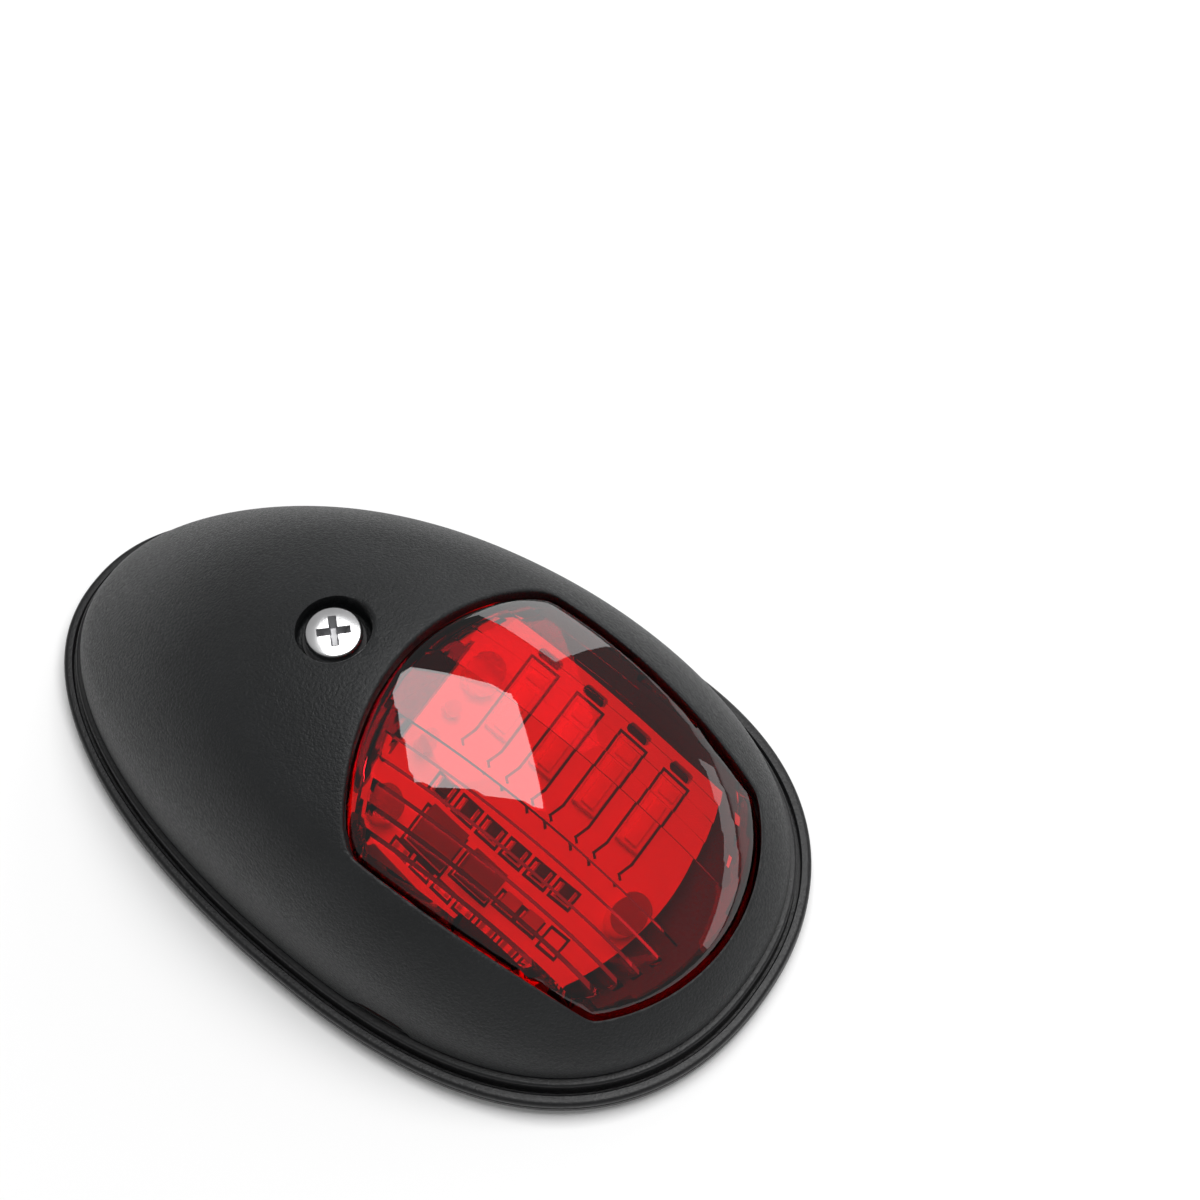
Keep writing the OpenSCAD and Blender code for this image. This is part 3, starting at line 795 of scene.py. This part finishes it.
def makePosts():             # what stands up from the floor of the base
    sunk = base["floorTop"] - base["sink"]
    bm = bmesh.new()
    addPost(bm, screwX, 0, base["postR"], base["insertR"], sunk, insertHigh.z / mm + base["insertGap"])
    for side in (-1, 1):
        addPost(bm, base["mountX"], side * base["mountY"], base["mountBossR"], base["mountR"], sunk,
                base["ledgeTop"])
    for angle in base["supportAngles"]:
        a = math.radians(angle)
        c, s, supportR = math.cos(a), math.sin(a), base["supportR"]
        r = windowReach(a) + base["supportOut"]
        x, y = windowMid + r * c, r * s
        outward = skin(x + supportR * c, y + supportR * s, base["supportDepth"])
        addPost(bm, x, y, supportR, 0, sunk, outward - base["supportGap"])
    for x, y in board["spots"]:
        foot = boardFrame @ (Vector((x, y, -board["thick"])) * mm)
        length = (foot.z / mm - base["floorTop"] + base["boardPostSink"]) / math.cos(board["tilt"])
        at = boardFrame @ Matrix.Translation(Vector((x, y, -board["thick"] - length / 2)) * mm)
        bmesh.ops.create_cone(bm, cap_ends=True, segments=40, radius1=base["boardPostR"] * mm,
                              radius2=base["boardPostR"] * mm, depth=length * mm, matrix=at)
    piece = finishMesh(bm, "basePosts", 40, "base")
    dress(piece, finish["base"])
    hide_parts("base_plate")


makeBase()
makePosts()
print("base made")


# ---- gasket
gasket = {
    "around": 384,
    "inset": 0.7,
    "soft": 0.05,
    "softH": 0.1,
    "neckR": 6.2,
}


def makeGasket():
    z0, z1, count = gasketLow.z / mm, gasketHigh.z / mm, gasket["around"]
    inset, low, high = gasket["inset"], z0 + gasket["softH"], z1 - gasket["softH"]
    drawn = inset + gasket["soft"]
    rings = [eggRing(drawn, z0, count), eggRing(inset, low, count), eggRing(inset, high, count),
             eggRing(drawn, z1, count)]
    bm = bmesh.new()
    capEnds(bm, sweepRings(bm, rings, closed=False))
    piece = finishMesh(bm, "foamPad", 40, "base")
    cutters = [holeCutter(cableX, 0, gasket["neckR"], -1, 3)]
    for side in (-1, 1):
        cutters.append(holeCutter(base["mountX"], side * base["mountY"], base["mountR"], -1, 3))
    cutAway(piece, cutters)
    dress(piece, finish["foam"])
    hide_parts("foam_gasket")


makeGasket()
print("gasket made")


# ---- LED board
def lampCentre(i):
    return (i - 1.5) * board["lampPitch"]


def resistorPlace(i):
    return (i - board["resistorShift"]) * board["resistorPitch"], board["resistorRow"]


def padPlace(i):
    return i * board["padPitch"] - board["padStart"], board["padRow"]


def addLine(bm, x0, y0, x1, y1):     # a printed line on the face of the board
    w, h = board["lineW"] / 2, board["lineH"]
    along = Vector((x1 - x0, y1 - y0, 0))
    turn = Matrix.Rotation(math.atan2(along.y, along.x), 4, "Z")
    place = boardFrame @ Matrix.Translation(Vector((x0, y0, 0)) * mm) @ turn
    addBlock(bm, (-w, -w, 0), (along.length + w, w, h), place)


def addOutline(bm, x, y, halfX, halfY):   # a printed box round a small part
    for side in (-1, 1):
        addLine(bm, x - halfX, y + side * halfY, x + halfX, y + side * halfY)
        addLine(bm, x + side * halfX, y - halfY, x + side * halfX, y + halfY)


def makePrint():
    bm = bmesh.new()
    half = board["lineHalf"]
    for i in range(board["lamps"]):
        x, top = lampCentre(i), board["slotRow"] - 0.9
        for side in (-1, 1):
            edge = x + side * half
            addLine(bm, edge, top, edge, 2.2)
            addLine(bm, edge, 2.2, edge - 0.5, 0.4)
            addLine(bm, edge - 0.5, 0.4, edge - 0.1, 0.05)
        addLine(bm, x - half, top, x + half, top)
    for i in range(board["resistors"]):
        addOutline(bm, *resistorPlace(i), 1.35, 0.95)
    for x, halfX, halfY in board["chips"]:
        addOutline(bm, x, board["chipRow"], halfX, halfY)
    for i in range(board["pads"]):
        addOutline(bm, *padPlace(i), 1.2, 0.7)
    piece = finishMesh(bm, "boardPrint", 30, "base")
    dress(piece, finish["ink"])


def makeLamps():
    bodies, tongues = bmesh.new(), bmesh.new()
    for i in range(board["lamps"]):
        x, high = lampCentre(i), board["slotRow"] - 1.2
        addBlock(bodies, (x - 1.5, high - 7.4, 0), (x + 1.5, high, 0.8), boardFrame, 0.18)
        addBlock(tongues, (x - 0.85, high - 7.0, 0.8), (x + 0.85, high - 2.4, 1.15), boardFrame, 0.17)
        addBlock(tongues, (x - 1.1, high - 1.9, 0.8), (x + 1.1, high - 0.5, 1.0), boardFrame, 0.09)
    piece = finishMesh(bodies, "ledBodies", 30, "base")
    dress(piece, finish["led"])
    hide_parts("led_packages")
    piece = finishMesh(tongues, "ledTongues", 30, "base")
    dress(piece, finish["phosphor"])
    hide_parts("led_emitters")


def makeChips():
    bodies, caps = bmesh.new(), bmesh.new()
    for i in range(board["resistors"]):
        x, y = resistorPlace(i)
        addBlock(bodies, (x - 0.7, y - 0.6, 0), (x + 0.7, y + 0.6, 0.52), boardFrame, 0.06)
        for side in (-1, 1):
            mid = x + side * 0.84
            addBlock(caps, (mid - 0.16, y - 0.62, 0), (mid + 0.16, y + 0.62, 0.55), boardFrame, 0.06)
    for i in range(board["pads"]):
        x, y = padPlace(i)
        for side in (-1, 1):
            mid = x + side * 0.6
            addBlock(caps, (mid - 0.25, y - 0.4, 0), (mid + 0.25, y + 0.4, 0.06), boardFrame)
    piece = finishMesh(bodies, "resistorBodies", 30, "base")
    dress(piece, finish["chip"])
    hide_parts("resistors")
    piece = finishMesh(caps, "resistorCaps", 30, "base")
    dress(piece, finish["tin"])
    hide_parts("resistors")


makePrint()
makeLamps()
makeChips()
print("board made")


# ---- cover screw
screw = {
    "headR": 3.05,
    "headH": 1.9,
    "edgeR": 0.45,           # rounding of the head's edge
    "crown": 0.12,           # how far the middle of the head stands above it
    "shankR": 1.5,
    "rootR": 1.22,
    "pitch": 0.5,
    "threads": 14,
    "firstThread": 0.3,
    "steps": 72,
    "recessL": 4.0,
    "recessW": 1.0,
    "recessD": 1.35,
    "recessTaper": 0.5,
    "recessReach": 2.1,      # faces nearer the axis than this, and below the head's face, are its walls
    "recessRim": 0.16,
    "turn": 42,
}


def makeScrew():
    top, tip = screwHigh.z / mm, screwLow.z / mm
    under = top - screw["headH"]
    r, low, root, shank = screw["headR"], screw["edgeR"], screw["rootR"], screw["shankR"]
    first = tip + screw["firstThread"]
    profile = [(0, tip), (root - 0.2, tip)]
    for k in range(screw["threads"]):
        z = first + k * screw["pitch"]
        profile += [(root, z), (shank, z + 0.2), (shank, z + 0.28)]
    profile += [(root, first + screw["threads"] * screw["pitch"]), (root + 0.05, under), (r, under)]
    profile += [(r - low + low * math.cos(a), top - low - screw["crown"] + low * math.sin(a))
                for a in (math.radians(15 * k) for k in range(6))]
    profile += [(r * 0.55, top - 0.03), (0, top)]
    bm = bmesh.new()
    spinProfile(bm, profile, screwX, 0, screw["steps"])
    piece = finishMesh(bm, "coverScrew", 32, "cover_screw")
    cutters = []
    centre = Matrix.Translation(Vector((screwX, 0, top)) * mm)
    halfL, halfW, taper = screw["recessL"] / 2, screw["recessW"] / 2, screw["recessTaper"]
    for angle in (0, 90):
        bm = bmesh.new()
        place = centre @ Matrix.Rotation(math.radians(angle + screw["turn"]), 4, "Z")
        addBlock(bm, (-halfL, -halfW, -screw["recessD"]), (halfL, halfW, 0.3), place)
        for v in bm.verts:               # each wing tapers towards its foot
            if v.co.z < (top - 0.5) * mm:
                v.co.x = screwX * mm + (v.co.x - screwX * mm) * taper
                v.co.y *= taper
        cutters.append(cutterFrom(bm))
    cutAway(piece, cutters)
    dress(piece, finish["steel"])
    piece.data.materials.append(finish["recess"])
    # the recess walls wear the darker steel as painted shade
    for f in piece.data.polygons:
        mid = f.center / mm
        near = math.hypot(mid.x - screwX, mid.y) < screw["recessReach"]
        deep = near and under + 0.2 < mid.z < top - screw["recessRim"]
        f.material_index = 1 if deep else 0
    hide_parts("cover_screw")


makeScrew()
print("screw made")


# ---- what the CAD nodes wear
nodeFinish = {
    "cover_seal": ("rubber", "seal_rubber"),
    "lens_seal": ("rubber", "seal_rubber"),
    "screw_washer": ("rubber", "seal_rubber"),
    "retaining_ring": ("steel", "stainless"),
    "thread_insert": ("brass", "brass"),
    "led_board": ("board", "board_white"),
    "driver_chip": ("chipGrey", "chip_black"),
    "polarity_diode": ("chipGrey", "chip_black"),
    "capacitors": ("ceramic", "capacitor_tan"),
    "lead_terminals": ("tin", "solder_tin"),
    "board_screws": ("steel", "stainless"),
    "cable_grommet": ("rubber", "seal_rubber"),
}
for nodeName, (look, slotName) in nodeFinish.items():
    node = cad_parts[nodeName]
    node.data.materials.clear()
    node.data.materials.append(finish[look])

# ---- stage
studio = {
    "floor": 2.4,
    "elevation": 61.84,
    "azimuth": 33.59,
    "roll": 0.46,
    "lens": 111.84,
    "cameraAt": (112.1, -133.9, 368.9),
    "world": 0.34,
}


def makeStage():
    bm = bmesh.new()
    bmesh.ops.create_grid(bm, x_segments=1, y_segments=1, size=studio["floor"])
    mesh = bpy.data.meshes.new("floor")
    bm.to_mesh(mesh)
    bm.free()
    floor = bpy.data.objects.new("floor", mesh)
    bpy.context.scene.collection.objects.link(floor)
    material, nodes, links, shader = newMaterial("paleFloor")
    shader.inputs["Base Color"].default_value = (0.9, 0.9, 0.9, 1)
    shader.inputs["Roughness"].default_value = 0.8
    floor.data.materials.append(material)


def addSoftbox(name, place, aim, size, power, turn=0.0):
    data = bpy.data.lights.new(name, "AREA")
    data.shape = "RECTANGLE"
    data.size, data.size_y = size
    data.energy = power
    lamp = bpy.data.objects.new(name, data)
    lamp.location = place
    facing = (Vector(aim) - Vector(place)).to_track_quat("-Z", "Y").to_matrix().to_4x4()
    lamp.rotation_euler = (facing @ Matrix.Rotation(math.radians(turn), 4, "Z")).to_euler()
    bpy.context.scene.collection.objects.link(lamp)


def makeLights():
    addSoftbox("overheadSoftbox", (0.08, 0.25, 1.0), (0.08, 0.25, 0), (0.74, 0.8), 10.5, 37)
    addSoftbox("sideSoftbox", (-0.15, 0.95, 0.3), (0, 0, 0.03), (0.45, 0.42), 1.6)
    addSoftbox("noseSoftbox", (0.95, 0.75, 0.1), (0, 0, 0.03), (1.1, 0.14), 0.8)
    world = bpy.data.worlds.new("studioWorld")
    bpy.context.scene.world = world
    world.use_nodes = True
    world.node_tree.nodes["Background"].inputs["Color"].default_value = (1, 1, 1, 1)
    world.node_tree.nodes["Background"].inputs["Strength"].default_value = studio["world"]
    bpy.context.scene.view_settings.view_transform = "Standard"


def makeCamera():
    data = bpy.data.cameras.new("camera")
    data.lens = studio["lens"]
    data.sensor_width = 36
    camera = bpy.data.objects.new("camera", data)
    camera.location = Vector(studio["cameraAt"]) * mm
    tilt, turn = math.radians(90 - studio["elevation"]), math.radians(studio["azimuth"])
    level = Matrix.Rotation(turn, 4, "Z") @ Matrix.Rotation(tilt, 4, "X")
    camera.rotation_euler = (level @ Matrix.Rotation(math.radians(studio["roll"]), 4, "Z")).to_euler()
    bpy.context.scene.collection.objects.link(camera)
    bpy.context.scene.camera = camera


makeStage()
makeLights()
makeCamera()
print("stage made")
